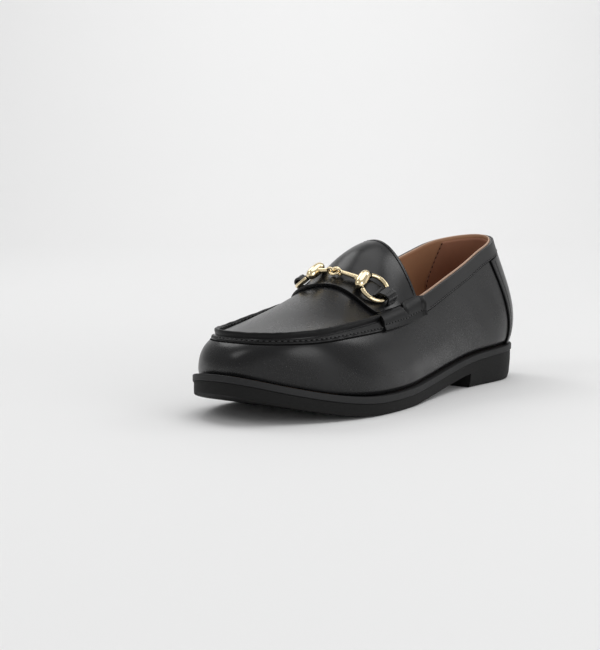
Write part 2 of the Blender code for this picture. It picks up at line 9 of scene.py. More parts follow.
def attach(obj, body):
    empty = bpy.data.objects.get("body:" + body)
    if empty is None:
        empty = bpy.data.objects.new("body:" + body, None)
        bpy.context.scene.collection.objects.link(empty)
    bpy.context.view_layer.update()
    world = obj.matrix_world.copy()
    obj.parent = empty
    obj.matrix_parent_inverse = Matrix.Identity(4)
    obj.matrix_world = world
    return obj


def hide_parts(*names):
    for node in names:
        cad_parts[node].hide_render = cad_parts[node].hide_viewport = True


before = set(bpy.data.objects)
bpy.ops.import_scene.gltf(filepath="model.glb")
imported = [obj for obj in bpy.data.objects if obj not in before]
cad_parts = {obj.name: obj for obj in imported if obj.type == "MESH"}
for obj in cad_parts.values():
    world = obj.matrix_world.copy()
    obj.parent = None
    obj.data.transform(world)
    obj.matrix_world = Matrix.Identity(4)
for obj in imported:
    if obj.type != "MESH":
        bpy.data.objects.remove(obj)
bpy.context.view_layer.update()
print("frame loaded,", len(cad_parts), "nodes")


# the last: the tables and lines that every piece follows, toe to -Y, outer side to +X
last = dict(
    length=0.290,
    soleEdge=0.0113,
    heelRound=(0.042, 2.2), toeRound=(0.086, 2.25),          # length and power of each rounded end
    feather=(0.2865, 0.130, 0.0035), ledge=0.0025,           # toe, middle and back of the line on the sole
    rim=(0.273, 0.140, 0.017),                               # toe, throat and back of the top line
    rimToeRound=(0.040, 2.4), rimHeelRound=(0.034, 2.0),
    gap=0.0003,
    ridgeLean=0.6,
    seamEnd=0.1890, seamFade=(0.1880, 0.1900), toeShare=8 / 17,   # the share of the seam that edges the apron's front
)
soleRows = np.array([   # station, lateral, medial, top
    (0.000, 0.0335, 0.0330, 0.0245), (0.045, 0.0345, 0.0330, 0.0230), (0.080, 0.0350, 0.0310, 0.0205),
    (0.110, 0.0375, 0.0295, 0.0165), (0.140, 0.0430, 0.0320, 0.0132), (0.170, 0.0495, 0.0395, 0.0113),
    (0.195, 0.0525, 0.0460, 0.0110), (0.215, 0.0525, 0.0500, 0.0117), (0.240, 0.0495, 0.0530, 0.0150),
    (0.265, 0.0440, 0.0550, 0.0207), (0.290, 0.0360, 0.0570, 0.0282)])
rimRows = np.array([    # station, lateral, medial, height on each side
    (0.017, 0.0230, 0.0250, 0.0990, 0.0990), (0.035, 0.0245, 0.0265, 0.0955, 0.0952),
    (0.055, 0.0265, 0.0275, 0.0905, 0.0898), (0.080, 0.0285, 0.0285, 0.0815, 0.0828),
    (0.105, 0.0300, 0.0290, 0.0735, 0.0755), (0.140, 0.0310, 0.0295, 0.0625, 0.0665),
    (0.160, 0.0325, 0.0305, 0.0590, 0.0635), (0.190, 0.0340, 0.0317, 0.0552, 0.0592),
    (0.220, 0.0350, 0.0320, 0.0525, 0.0536), (0.250, 0.0345, 0.0318, 0.0503, 0.0489),
    (0.273, 0.0320, 0.0315, 0.0490, 0.0490)])
wallRows = np.array([   # station, then how the wall leaves the sole and meets the rim, out and up
    (0.0035, 0.0108, 0.026, 0.0084, -0.028), (0.0600, 0.0060, 0.016, 0.0040, -0.020),
    (0.1300, 0.0050, 0.014, 0.0060, -0.014), (0.1900, 0.0035, 0.016, 0.0105, -0.010),
    (0.2500, 0.0020, 0.015, 0.0105, -0.007), (0.2865, 0.0010, 0.014, 0.0080, -0.005)])
apronRows = np.array([  # rim station, ridge station, ridge height, fullness of each flank
    (0.140, 0.1425, 0.0992, 0.88, 0.75), (0.148, 0.1520, 0.0972, 0.92, 0.68), (0.157, 0.1630, 0.0925, 0.98, 0.64),
    (0.167, 0.1740, 0.0842, 1.05, 0.62), (0.177, 0.1835, 0.0760, 1.20, 0.62), (0.186, 0.1915, 0.0717, 1.45, 0.62),
    (0.200, 0.2045, 0.0662, 1.40, 0.66), (0.220, 0.2235, 0.0598, 1.30, 0.72), (0.240, 0.2420, 0.0548, 1.15, 0.80),
    (0.257, 0.2580, 0.0518, 1.00, 0.85)])


def column(rows, k, at):   # smooth curve through column k
    keys, values = rows[:, 0], rows[:, k]
    at = np.clip(np.asarray(at, float), keys[0], keys[-1])
    step = np.diff(keys)
    rise = np.diff(values) / step
    slope = (rise[:-1] * step[1:] + rise[1:] * step[:-1]) / (step[:-1] + step[1:])
    slope = np.concatenate([rise[:1], slope, rise[-1:]])
    i = np.clip(np.searchsorted(keys, at) - 1, 0, len(step) - 1)
    t = (at - keys[i]) / step[i]
    return ((2 * t**3 - 3 * t**2 + 1) * values[i] + (t**3 - 2 * t**2 + t) * step[i] * slope[i]
            + (3 * t**2 - 2 * t**3) * values[i + 1] + (t**3 - t**2) * step[i] * slope[i + 1])


def endRound(distance, length, power):
    return (1 - np.clip(1 - distance / length, 0, 1) ** power) ** (1 / power)


def smooth(low, high, x):
    t = np.clip((x - low) / (high - low), 0, 1)
    return t * t * (3 - 2 * t)


def loopStation(ends, loop):   # loop runs 0 at the toe, pi at the heel, on round to 2 pi
    toe, middle, back = ends
    c = np.cos(loop)
    return np.where(c > 0, middle + (toe - middle) * c, middle + (middle - back) * c)


def onLast(x, station, z):
    return np.stack(np.broadcast_arrays(x - last["centre"], last["length"] / 2 - station, z), -1)


def sideOf(rows, loop, station, k=1):
    return np.where(np.sin(loop) >= 0, column(rows, k, station), column(rows, k + 1, station))


def soleWidth(loop, station, inset=0.0):
    heel = endRound(station - inset, *last["heelRound"])
    ends = heel * endRound(last["length"] - inset - station, *last["toeRound"])
    return np.where(np.sin(loop) >= 0, 1, -1) * (sideOf(soleRows, loop, station) - inset) * ends


def featherLine(loop):
    toe, _, back = last["feather"]
    station = loopStation(last["feather"], loop)
    ends = endRound(station - back, *last["heelRound"]) * endRound(toe - station, *last["toeRound"])
    x = np.where(np.sin(loop) >= 0, 1, -1) * (sideOf(soleRows, loop, station) - last["ledge"]) * ends
    return onLast(x, station, column(soleRows, 3, station) + last["gap"])


def rimLine(loop):
    toe, _, back = last["rim"]
    station = loopStation(last["rim"], loop)
    ends = endRound(station - back, *last["rimHeelRound"]) * endRound(toe - station, *last["rimToeRound"])
    x = np.where(np.sin(loop) >= 0, 1, -1) * sideOf(rimRows, loop, station) * ends
    return onLast(x, station, sideOf(rimRows, loop, station, 3))


def rimTurn(station):
    toe, middle, back = last["rim"]
    station = np.asarray(station, float)
    reach = np.where(station >= middle, toe - middle, middle - back)
    return np.arccos(np.clip((station - middle) / reach, -1, 1))


def apronPoint(station, across):   # across runs -1 inner side to 1 outer side
    station, across = np.broadcast_arrays(np.asarray(station, float), np.asarray(across, float))
    toe, middle, _ = last["rim"]
    turn = np.arccos(np.clip((station - middle) / (toe - middle), -1, 1))
    outer, inner = rimLine(turn), rimLine(2 * math.pi - np.maximum(turn, 1e-9))
    power = column(apronRows, 4, station)
    power = power + (column(apronRows, 3, station) - power) * (1 + np.sin(across * math.pi / 2)) / 2
    swell = np.clip(1 - across**2, 0, 1)
    points = inner + (outer - inner) * ((across + 1) / 2)[..., None]
    half = (outer + inner) / 2
    points[..., 1] += (last["length"] / 2 - column(apronRows, 1, station) - half[..., 1]) * swell ** last["ridgeLean"]
    points[..., 2] += (column(apronRows, 2, station) - half[..., 2]) * swell**power
    return points


last["centre"] = 0.0
widths = [soleWidth(np.full(900, a), np.linspace(0, last["length"], 900)) for a in (1.0, 4.0)]
last["centre"] = (widths[0].max() + widths[1].min()) / 2


def makeField(around=900, rows=170, samples=240):   # the wall as one closed net, rim to sole
    loop = np.arange(around) / around * 2 * math.pi
    bottom, top = featherLine(loop), rimLine(loop)
    along = featherLine(loop + 1e-4) - featherLine(loop - 1e-4)
    out = np.stack([along[:, 1], -along[:, 0], 0 * loop], -1)
    out /= np.linalg.norm(out, axis=1, keepdims=True)
    station = last["length"] / 2 - bottom[:, 1]
    lowOut, lowUp, highOut, highUp = (column(wallRows, k, station)[:, None] for k in (1, 2, 3, 4))
    up = np.array([0, 0, 1.0])
    low, high = bottom + out * lowOut + up * lowUp, top + out * highOut + up * highUp
    t = np.linspace(0, 1, samples)[:, None, None]
    curve = (1 - t) ** 3 * top + 3 * (1 - t) ** 2 * t * high + 3 * (1 - t) * t**2 * low + t**3 * bottom
    run = np.concatenate([np.zeros((1, around)), np.cumsum(np.linalg.norm(np.diff(curve, axis=0), axis=2), 0)])
    points = np.empty((around, rows, 3))
    for k in range(around):
        want = np.linspace(0, run[-1, k], rows)
        for axis in range(3):
            points[k, :, axis] = np.interp(want, run[:, k], curve[:, k, axis])
    ahead = np.roll(points, -1, 0) - np.roll(points, 1, 0)
    normals = np.cross(ahead, np.gradient(points, axis=1))
    normals /= np.linalg.norm(normals, axis=2, keepdims=True)
    if (normals[:, rows // 2] * out).sum() < 0:
        normals = -normals
    return dict(points=points, normals=normals, depth=run[-1])


field = makeField()
print("last worked out, wall", *(round(1000 * k) for k in (field["depth"].min(), field["depth"].max())), "mm deep")


def lookUp(net, i, j):
    i0, j0 = np.floor(i).astype(int), np.clip(np.floor(j).astype(int), 0, net.shape[1] - 2)
    a, b = (i - i0)[..., None], (j - j0)[..., None]
    i0, i1 = i0 % len(net), (i0 + 1) % len(net)
    here, beyond = (net[k, j0] * (1 - b) + net[k, j0 + 1] * b for k in (i0, i1))
    return here * (1 - a) + beyond * a


def wallDepth(loop):
    depth = field["depth"]
    i = loop / (2 * math.pi) * len(depth)
    return np.interp(i % len(depth), np.arange(len(depth) + 1), np.append(depth, depth[0]))


def wallPoint(loop, down, height=0.0):   # down the wall from the rim, height off it; down may go past the rim
    loop, down, height = np.broadcast_arrays(*(np.asarray(k, float) for k in (loop, down, height)))
    i = loop / (2 * math.pi) * len(field["points"])
    j = np.clip(down / wallDepth(loop), 0, 1) * (field["points"].shape[1] - 1)
    points, normals = lookUp(field["points"], i, j), lookUp(field["normals"], i, j)
    top = lookUp(field["points"], i, 0 * j) - lookUp(field["points"], i, 0 * j + 3)
    top /= np.linalg.norm(top, axis=-1, keepdims=True)
    normals = normals / np.linalg.norm(normals, axis=-1, keepdims=True)
    return points + top * np.maximum(-down, 0)[..., None] + normals * height[..., None]


def instepFrame(station, across, lift=0.0):   # point over the instep with its ways across, ahead and out
    step = 1e-3
    over = apronPoint(station, across + step) - apronPoint(station, across - step)
    ahead = apronPoint(station + step, across) - apronPoint(station - step, across)
    over, ahead = Vector(over).normalized(), Vector(ahead).normalized()
    out = ahead.cross(over).normalized()
    return Vector(apronPoint(station, across)) + out * lift, over, ahead, out


# shader maths: a socket that adds nodes as it is used
class wire:
    def __init__(self, tree, socket=None):
        self.tree, self.socket = tree, socket

    def add(self, kind, settings=None, out=0, **sockets):
        node = self.tree.nodes.new("ShaderNode" + kind)
        for key, value in (settings or {}).items():
            setattr(node, key, value)
        for key, value in sockets.items():
            target = node.inputs[int(key[2:])] if key[:2] == "in" and key[2:].isdigit() else node.inputs[key]
            if isinstance(value, wire):
                self.tree.links.new(value.socket, target)
            else:
                target.default_value = value
        return wire(self.tree, node.outputs[out])

    def maths(self, operation, a, b=0.0):
        return self.add("Math", dict(operation=operation), in0=a, in1=b)

    def __add__(self, other):
        return self.maths("ADD", self, other)

    def __sub__(self, other):
        return self.maths("SUBTRACT", self, other)

    def __rsub__(self, other):
        return self.maths("SUBTRACT", other, self)

    def __mul__(self, other):
        return self.maths("MULTIPLY", self, other)

    __radd__, __rmul__ = __add__, __mul__

    def mix(self, low, high):   # self is the share of high
        return self.add("Mix", dict(data_type="RGBA"), 2, in0=self, in6=low, in7=high)


def startFinish(name):
    made = bpy.data.materials.new(name)
    made.use_nodes = True
    skin = made.node_tree.nodes["Principled BSDF"]
    start = wire(made.node_tree)
    place = start.add("TexCoord", out=3)
    return made, skin, start, place


def plug(skin, **sockets):
    for key, value in sockets.items():
        target = skin.inputs[key.replace("_", " ")]
        if isinstance(value, wire):
            value.tree.links.new(value.socket, target)
        else:
            target.default_value = value


def noise(start, place, scale, detail=3.0, rough=0.5):
    return start.add("TexNoise", None, 0, Vector=place, Scale=scale, Detail=detail, Roughness=rough)


def leatherFinish(name, dark, light, gloss, grain=0.05, shine=0.37):
    made, skin, start, place = startFinish(name)
    cloud = noise(start, place, 38, 4)
    fine = noise(start, place, 900, 2)
    pores = start.add("TexVoronoi", dict(feature="DISTANCE_TO_EDGE"), 0, Vector=place, Scale=1500)
    wrinkle = noise(start, place, 130, 5, 0.6)
    plug(skin, Base_Color=cloud.mix((*dark, 1), (*light, 1)))
    plug(skin, Roughness=gloss + (fine - 0.5) * 0.10 + (cloud - 0.5) * 0.10)
    relief = pores * 0.15 + wrinkle * 0.9 + fine * 0.08
    plug(skin, Normal=start.add("Bump", None, 0, Strength=grain, Distance=0.0003, Height=relief))
    plug(skin, Specular_IOR_Level=shine)
    return made


def rubberFinish(name, dark, light, gloss, grain, shine=0.5):
    made, skin, start, place = startFinish(name)
    speck = noise(start, place, 700, 3)
    cloud = noise(start, place, 22, 3)
    plug(skin, Base_Color=(cloud * 0.6 + speck * 0.4).mix((*dark, 1), (*light, 1)))
    plug(skin, Roughness=gloss + (speck - 0.5) * 0.18)
    plug(skin, Normal=start.add("Bump", None, 0, Strength=grain, Distance=0.0002, Height=speck))
    plug(skin, Specular_IOR_Level=shine)
    return made


def metalFinish(name, shade, gloss):
    made, skin, start, place = startFinish(name)
    cloud = noise(start, place, 160, 3)
    fine = noise(start, place, 1400, 2)
    deep = tuple(0.86 * c for c in shade)
    plug(skin, Base_Color=cloud.mix((*deep, 1), (*shade, 1)), Metallic=1.0)
    plug(skin, Roughness=gloss + (fine - 0.5) * 0.07)
    plug(skin, Normal=start.add("Bump", None, 0, Strength=0.04, Distance=0.0002, Height=cloud))
    return made


finishes = dict(
    leather=leatherFinish("blackLeather", (0.0030, 0.0031, 0.0035), (0.0060, 0.0061, 0.0067), 0.29),
    # darker than the plain leather: painted shade along the raised seam's ridge and flange
    seam=leatherFinish("seamShadedLeather", (0.0020, 0.0020, 0.0022), (0.0042, 0.0042, 0.0045), 0.40, 0.08, 0.18),
    tab=leatherFinish("tabLeather", (0.0030, 0.0031, 0.0034), (0.0060, 0.0061, 0.0066), 0.36, 0.08, 0.22),
    binding=leatherFinish("bindingLeather", (0.0062, 0.0062, 0.0066), (0.0115, 0.0115, 0.012), 0.40, 0.16, 0.42),
    lining=leatherFinish("tanLining", (0.310, 0.150, 0.078), (0.410, 0.215, 0.118), 0.60, 0.12, 0.4),
    # redder heel lining, darker than the quarter lining partly as painted shade of the shaded heel inside
    heelLining=leatherFinish("heelLining", (0.270, 0.115, 0.066), (0.350, 0.165, 0.098), 0.72, 0.16, 0.4),
    cutEdge=leatherFinish("cutEdge", (0.52, 0.34, 0.24), (0.62, 0.43, 0.32), 0.70, 0.12, 0.4),
    edge=rubberFinish("greyEdge", (0.010, 0.0102, 0.0106), (0.018, 0.0182, 0.019), 0.60, 0.25, 0.28),
    rubber=rubberFinish("blackRubber", (0.0018, 0.0018, 0.0018), (0.0040, 0.0040, 0.0038), 0.72, 0.30, 0.28),
    gold=metalFinish("paleGold", (0.96, 0.80, 0.51), 0.11),
    # black thread kept lighter than the leather: painted highlight on the stitches
    thread=rubberFinish("blackThread", (0.007, 0.007, 0.0075), (0.015, 0.015, 0.016), 0.45, 0.5),
    tanThread=rubberFinish("tanThread", (0.15, 0.080, 0.045), (0.24, 0.135, 0.08), 0.6, 0.5),
    # near-black finishes for painted shade: the dark strips, the dots between stitches and the barrel slots
    paintedShade=rubberFinish("holeShade", (0.0008, 0.0008, 0.0008), (0.0015, 0.0015, 0.0015), 0.9, 0.2, 0.1),
    tanPaintedShade=rubberFinish("tanHoleShade", (0.012, 0.006, 0.004), (0.020, 0.010, 0.006), 0.9, 0.2, 0.1),
)
print("finishes made")


def newGrid(columns, rows):   # a flat grid, with the share along and across at each vertex
    shape = bmesh.new()
    bmesh.ops.create_grid(shape, x_segments=columns, y_segments=rows, size=1.0)
    flat = np.array([v.co for v in shape.verts])
    return shape, (flat[:, 0] + 1) / 2, (flat[:, 1] + 1) / 2


def setPoints(shape, points):
    for v, p in zip(shape.verts, points):
        v.co = p


def addPiece(name, shape, finish, stands=(), outward=None, sharp=40):
    bmesh.ops.remove_doubles(shape, verts=shape.verts, dist=2e-6)
    bmesh.ops.recalc_face_normals(shape, faces=shape.faces)
    if outward is not None:   # an open sheet: its faces look along this way on the whole
        facing = sum(f.normal.dot(outward(f.calc_center_median())) * f.calc_area() for f in shape.faces)
        if facing < 0:
            bmesh.ops.reverse_faces(shape, faces=shape.faces)
    mesh = bpy.data.meshes.new(name)
    shape.to_mesh(mesh)
    shape.free()
    piece = bpy.data.objects.new(name, mesh)
    bpy.context.scene.collection.objects.link(piece)
    mesh.materials.append(finishes[finish])
    mesh.shade_smooth()
    mesh.set_sharp_from_angle(angle=math.radians(sharp))
    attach(piece, "root")
    if stands:
        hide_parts(*stands)
    return piece


def thicken(piece, thickness, offset, edge=0.0, segments=2):
    wall = piece.modifiers.new("thickness", "SOLIDIFY")
    wall.thickness, wall.offset, wall.use_even_offset = thickness, offset, True
    if edge:
        soft = piece.modifiers.new("edge", "BEVEL")
        soft.width, soft.segments, soft.limit_method, soft.angle_limit = edge, segments, "ANGLE", math.radians(50)


def shiftOut(piece, distance):   # along each vertex's own normal
    piece.data.update()
    normals = [v.normal.copy() for v in piece.data.vertices]
    for v, n in zip(piece.data.vertices, normals):
        v.co += n * distance


def awayFromAxis(p):   # outwards from a line along the inside of the shoe
    return Vector((p.x, 0.25 * p.y, p.z - 0.035))


# upper: the wall with its raised seam, all round
upperWall = dict(columns=420, seamRows=28, rows=34, seamDepth=0.0108, thickness=0.0011, ripple=0.00006,
                 pucker=0.00007, seamShadeHeight=0.0004,                          # the seam's darker finish, painted shade, where it is higher than this
                 flange=0.0009, flangeFrom=(0.0036, 0.0046),           # stitched margin below the ridge
                 reach=(0.0098, 0.0064), reachAt=(0.190, 0.262),       # its width at these stations
                 tuck=0.0012, tuckDepth=0.0040,                        # the wall turns in above the sole
                 tuckToe=0.75, tuckFade=(0.20, 0.25),                  # and this much less at the toe
                 shadeLine=(0.0002, 0.0011), stitchIn=0.0010, stitchOut=0.0002, stitchEnd=0.1902)
ridgeRows = np.array([  # distance out from the rim, height
    (0.0000, 0.0004), (0.0003, 0.0019), (0.0007, 0.0030), (0.0013, 0.0035), (0.0020, 0.0034), (0.0026, 0.0027),
    (0.0030, 0.0016), (0.0034, 0.0006), (0.0040, 0.0001), (0.0048, 0.0)])


def seamReach(loop):
    return np.interp(loopStation(last["rim"], loop), upperWall["reachAt"], upperWall["reach"])


def ribHeight(loop, down):
    reach = seamReach(loop)
    ridge = np.interp(down, ridgeRows[:, 0], ridgeRows[:, 1])
    margin = upperWall["flange"] * smooth(*upperWall["flangeFrom"], down) * smooth(reach + 0.0005, reach - 0.0002, down)
    lumps = np.sin(loop * 61) + np.sin(loop * 37 + 1.7)   # uneven from stitch to stitch
    ridge = ridge * (1 + upperWall["pucker"] / ridgeRows[:, 1].max() * lumps)
    return (ridge + margin) * smooth(*last["seamFade"], loopStation(last["rim"], loop))


def tuckIn(loop, down):   # how far the wall draws in just above the sole, less at the toe
    d = upperWall
    low = smooth(d["tuckDepth"], 0.0, wallDepth(loop) - down)
    return d["tuck"] * low * (1 - d["tuckToe"] * smooth(*d["tuckFade"], loopStation(last["feather"], loop)))


def makeUpperWall(d):
    shape, u, v = newGrid(d["columns"], d["seamRows"] + d["rows"])
    loop = u * 2 * math.pi
    row = v * (d["seamRows"] + d["rows"])
    deep = wallDepth(loop)
    share = np.clip((row - d["seamRows"]) / d["rows"], 0, 1)
    down = np.where(row <= d["seamRows"], row / d["seamRows"] * d["seamDepth"],
                    d["seamDepth"] + (deep - d["seamDepth"]) * share)
    flat = wallPoint(loop, down)
    wave = np.sin(flat[:, 0] * 310 + flat[:, 2] * 170) + np.sin(flat[:, 1] * 240 + flat[:, 2] * 260 + 1.3)
    height = ribHeight(loop, down) + d["ripple"] * wave * smooth(0.0, 0.4, share) * smooth(1.0, 0.8, share)
    setPoints(shape, wallPoint(loop, down, height - tuckIn(loop, down)))
    raised = ribHeight(loop, down) > d["seamShadeHeight"]
    shape.verts.index_update()
    for face in shape.faces:   # the raised seam gets a duller finish, its darker colour painted shade
        face.material_index = int(all(raised[v.index] for v in face.verts))
    piece = addPiece("upperWall", shape, "leather", ["upper"], awayFromAxis)
    piece.data.materials.append(finishes["seam"])
    thicken(piece, d["thickness"], -1)


makeUpperWall(upperWall)


# apron and tongue: from the toe seam back over the instep
apron = dict(columns=110, rows=150, thickness=0.0013, edge=0.0004,
             liningColumns=60, liningRows=80, liningFront=0.04, liningShare=0.97, lining=0.0007, overhang=0.0004,
             clear=0.00015,
             shadeLine=(0.9800, 0.0030), shadeLineReach=1.32, stitchAlong=0.986, stitchReach=1.3)
seamTurn = rimTurn(last["seamEnd"])
toeTurn = seamTurn * last["toeShare"]


def apronSheet(along, across):   # along runs 0 at the toe seam to 1 at the tongue's edge
    turn = toeTurn + (math.pi / 2 - toeTurn) * along
    fade = np.clip((seamTurn - turn) / (seamTurn - toeTurn), 0, 1) ** 2
    points = apronPoint(loopStation(last["rim"], turn), across)
    edge = rimLine(np.linspace(toeTurn, -toeTurn, 241) % (2 * math.pi))
    place = 2 * (edge[:, 0] - edge[-1, 0]) / (edge[0, 0] - edge[-1, 0]) - 1
    toe = np.stack([np.interp(across, place[::-1], edge[::-1, k]) for k in range(3)], -1)
    swing = toe - apronPoint(loopStation(last["rim"], np.full_like(across, toeTurn)), across)
    return points + fade[:, None] * swing


def sheetPoint(along, across, height=0.0):
    step = 1e-3
    ahead = apronSheet(np.minimum(along + step, 1), across) - apronSheet(np.maximum(along - step, 0), across)
    beside = apronSheet(along, np.minimum(across + step, 1)) - apronSheet(along, np.maximum(across - step, -1))
    out = np.cross(beside, ahead)
    return apronSheet(along, across) + out / np.linalg.norm(out, axis=1, keepdims=True) * height


def upAndAhead(p):
    return Vector((0, -0.3, 1))


def makeApron(d):
    shape, u, v = newGrid(d["columns"], d["rows"])
    across = np.sin((2 * u - 1) * math.pi / 2 * 0.9999)
    setPoints(shape, apronSheet(v, across))
    piece = addPiece("apron", shape, "leather", outward=upAndAhead)
    thicken(piece, d["thickness"], -1, d["edge"])
    shape, u, v = newGrid(d["liningColumns"], d["liningRows"])
    across = np.sin((2 * u - 1) * math.pi / 2 * d["liningShare"])
    points = apronSheet(d["liningFront"] + (1 - d["liningFront"]) * v, across)
    points[:, 1] += d["overhang"] * smooth(0.9, 1.0, v)
    setPoints(shape, points)
    under = addPiece("tongueLining", shape, "lining", outward=upAndAhead)
    shiftOut(under, -(d["thickness"] + d["clear"]))
    thicken(under, d["lining"], -1)


makeApron(apron)
print("upper made")


# lining of the quarters, a little proud of the cut edge
lining = dict(columns=260, rows=40, inset=0.00125, thickness=0.0007, proud=0.0005, below=0.0004, short=0.0005)


def makeLining(d):
    shape, u, v = newGrid(d["columns"], d["rows"])
    loop = u * 2 * math.pi
    station = loopStation(last["rim"], loop)
    top = np.where(station < last["rim"][1], -d["proud"], d["below"])   # below the apron's seam
    down = top + (wallDepth(loop) - d["short"] - top) * v
    setPoints(shape, wallPoint(loop, down, -d["inset"] - tuckIn(loop, down)))
    piece = addPiece("quarterLining", shape, "lining", outward=awayFromAxis)
    thicken(piece, d["thickness"], -1)


makeLining(lining)
print("lining made")


# leather laid on the wall: binding, backstay and tabs, with near-black strips of painted shade along their edges
shadeLine = dict(lift=0.0001, thickness=0.0001)
binding = dict(columns=240, rows=10, front=0.1372, proud=0.0001, width=0.0095, lift=0.00005, thickness=0.0013, edge=0.0004,
               shadeLine=0.0007, stitchIn=0.0009, stitchStart=0.05)
cutEdge = dict(rows=3, proud=0.0011, width=0.0016, lift=-0.0019, thickness=0.0007, edge=0.0002)
backstay = dict(columns=60, rows=60, turn=0.64, flare=0.09, top=0.0103, short=0.0004, lift=0.00005, thickness=0.0013,
                edge=0.0004, shadeLineGap=0.003, shadeLine=0.009, stitchIn=0.04, stitchTop=0.0125, stitchShort=0.005)
heelLining = dict(columns=120, rows=40, front=0.0315, slant=6.0, slantDepth=0.03, depth=0.07,
                  top=0.0016, short=0.006, clear=0.0001, thickness=0.0005, stitchIn=0.016, stitches=(0.003, 0.050))
tab = dict(columns=72, rows=28, front=0.1881, back=0.1375, width=0.0112, lean=0.0030, lift=0.0003, thickness=0.0019,
           edge=0.0008, seam=0.68, puff=0.0011, crease=0.0012, creaseWide=0.028, creaseLean=0.06, step=0.0012,
           top=0.0002, notchAt=0.52, notch=0.0012, notchWide=0.035, rise=0.0015, stitches=(0.04, 0.96))
bothSides = ((1, "Lateral"), (-1, "Medial"))


def wallStrip(name, columns, rows, loopOf, downOf, lift, thickness, edge, finish, stands=(), side=1):
    shape, u, v = newGrid(columns, rows)
    loop = loopOf(u, v)
    setPoints(shape, wallPoint(loop, downOf(u, v, loop), lift(u, v) if callable(lift) else lift))
    piece = addPiece(name, shape, finish, stands, awayFromAxis)
    thicken(piece, thickness, side, edge)


# a thin near-black strip laid on the wall: painted shade of the gap beside an edge
def paintedShadeStrip(name, columns, rows, loopOf, downOf):
    wallStrip(name, columns, rows, loopOf, downOf, shadeLine["lift"], shadeLine["thickness"], 0, "paintedShade")


collarStart = float(rimTurn(binding["front"]))


def collarLoop(u, v):
    return collarStart + (2 * math.pi - 2 * collarStart) * u


def backstayTurn(v):   # wider towards the top
    return backstay["turn"] + backstay["flare"] * (1 - v) ** 2


def backstayDown(u, v, loop):
    return backstay["top"] + (wallDepth(loop) - backstay["short"] - backstay["top"]) * v


wallStrip("collarBinding", binding["columns"], binding["rows"], collarLoop,
          lambda u, v, loop: -binding["proud"] + (binding["width"] + binding["proud"]) * v,
          binding["lift"], binding["thickness"], binding["edge"], "binding", ["collar_binding"])
# painted shade: a dark strip under the binding's lower edge
paintedShadeStrip("collarShadeLine", binding["columns"], 1, collarLoop,
            lambda u, v, loop: binding["width"] + binding["shadeLine"] * v)
wallStrip("collarCutEdge", binding["columns"], cutEdge["rows"], collarLoop,
          lambda u, v, loop: -cutEdge["proud"] + cutEdge["width"] * v,
          cutEdge["lift"], cutEdge["thickness"], cutEdge["edge"], "cutEdge")
wallStrip("backstay", backstay["columns"], backstay["rows"],
          lambda u, v: math.pi + (2 * u - 1) * backstayTurn(v), backstayDown,
          backstay["lift"], backstay["thickness"], backstay["edge"], "leather", ["backstay"])
# painted shade: dark strips beside the backstay's edges
for side, name in bothSides:
    paintedShadeStrip("backstayShadeLine" + name, 1, backstay["rows"],
                lambda u, v: math.pi - side * (backstayTurn(v) + backstay["shadeLineGap"] + backstay["shadeLine"] * u),
                backstayDown)


def heelEdge(down):   # the heel lining's front edge slants forward as it goes down
    return float(rimTurn(heelLining["front"])) - heelLining["slant"] * np.minimum(down, heelLining["slantDepth"])


def heelLoop(u, v):
    edge = heelEdge(heelLining["depth"] * v)
    return edge + 2 * (math.pi - edge) * u


wallStrip("heelLining", heelLining["columns"], heelLining["rows"], heelLoop,
          lambda u, v, loop: heelLining["top"] + (wallDepth(loop) - heelLining["short"]) * v,
          -(lining["inset"] + lining["thickness"] + heelLining["clear"]),
          heelLining["thickness"], 0, "heelLining", side=-1)


def tabLoop(side, u, v):
    return (side * rimTurn(tab["front"] + (tab["back"] - tab["front"]) * u + tab["lean"] * v)) % (2 * math.pi)


def tabDown(u, v):   # a notch half way along, and the back half stands higher
    notch = tab["notch"] * np.exp(-((u - tab["notchAt"]) / tab["notchWide"]) ** 2)
    top = tab["top"] + notch - tab["rise"] * smooth(0.54, 0.62, u) * smooth(1.0, 0.90, u)
    return tab["width"] * v + (1 - v) * top


def tabLift(u, v):   # puffed above its seam, creased below the notch, stepped up over the binding
    puff = tab["puff"] * np.sin(math.pi * np.clip(v / tab["seam"], 0, 1)) ** 0.8
    crease = np.exp(-((u - tab["notchAt"] - tab["creaseLean"] * v) / tab["creaseWide"]) ** 2)
    crease = tab["crease"] * crease * smooth(tab["seam"], 0.2, v)
    return tab["lift"] + puff - np.minimum(crease, puff) + tab["step"] * smooth(0.93, 0.98, u)


for side, name in bothSides:
    wallStrip("tab" + name, tab["columns"], tab["rows"], lambda u, v: tabLoop(side, u, v),
              lambda u, v, loop: tabDown(u, v), tabLift, tab["thickness"], tab["edge"], "tab", ["tab_" + name.lower()])
print("overlays made")


# strap over the instep
strap = dict(columns=110, rows=24, front=0.1860, backEnd=0.1610, backRidge=0.1720, reach=0.985,
             lift=0.0002, thickness=0.0021, edge=0.0006)


def makeStrap(d):
    shape, u, v = newGrid(d["columns"], d["rows"])
    across = np.sin((2 * u - 1) * math.asin(d["reach"]))
    rear = d["backEnd"] + (d["backRidge"] - d["backEnd"]) * (1 - across**2)
    setPoints(shape, apronPoint(rear + (d["front"] - rear) * v, across))
    piece = addPiece("strap", shape, "leather", ["strap"], lambda p: Vector((0, -0.5, 1)))
    shiftOut(piece, d["lift"])
    thicken(piece, d["thickness"], 1, d["edge"], 3)


makeStrap(strap)


